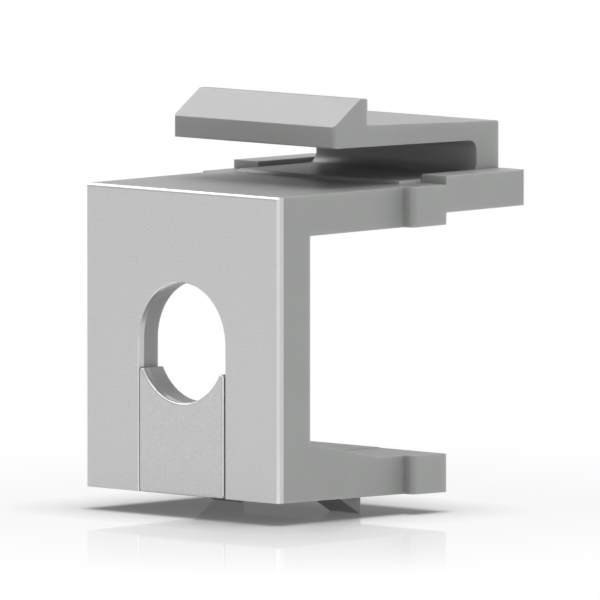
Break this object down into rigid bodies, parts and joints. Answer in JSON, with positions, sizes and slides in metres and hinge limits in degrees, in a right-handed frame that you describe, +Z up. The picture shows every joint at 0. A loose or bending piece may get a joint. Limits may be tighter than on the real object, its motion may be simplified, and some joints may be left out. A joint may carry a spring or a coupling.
{
  "type": "keystone blank insert",
  "caption": "Snap-in keystone blank insert: square front with a round cable hole, a removable tongue, two arms with stop wings and a folded spring latch.",
  "frame": {"origin": "where the axis of the cable hole meets the front face", "axes": "-Y out of the front face, along the cable hole's axis; +Z up, towards the latch; +X to the right seen from the front"},
  "size_m": [0.016, 0.0184, 0.0224],
  "materials": {
    "grey_moulding": "satin grey moulded plastic",
    "silver_facing": "fine matt silver with bright bevelled edges"
  },
  "bodies": {
    "root": {"insert_body": "grey_moulding", "front_facing": "silver_facing", "cable_tongue": "grey_moulding", "tongue_facing": "silver_facing"}
  },
  "joints": []
}
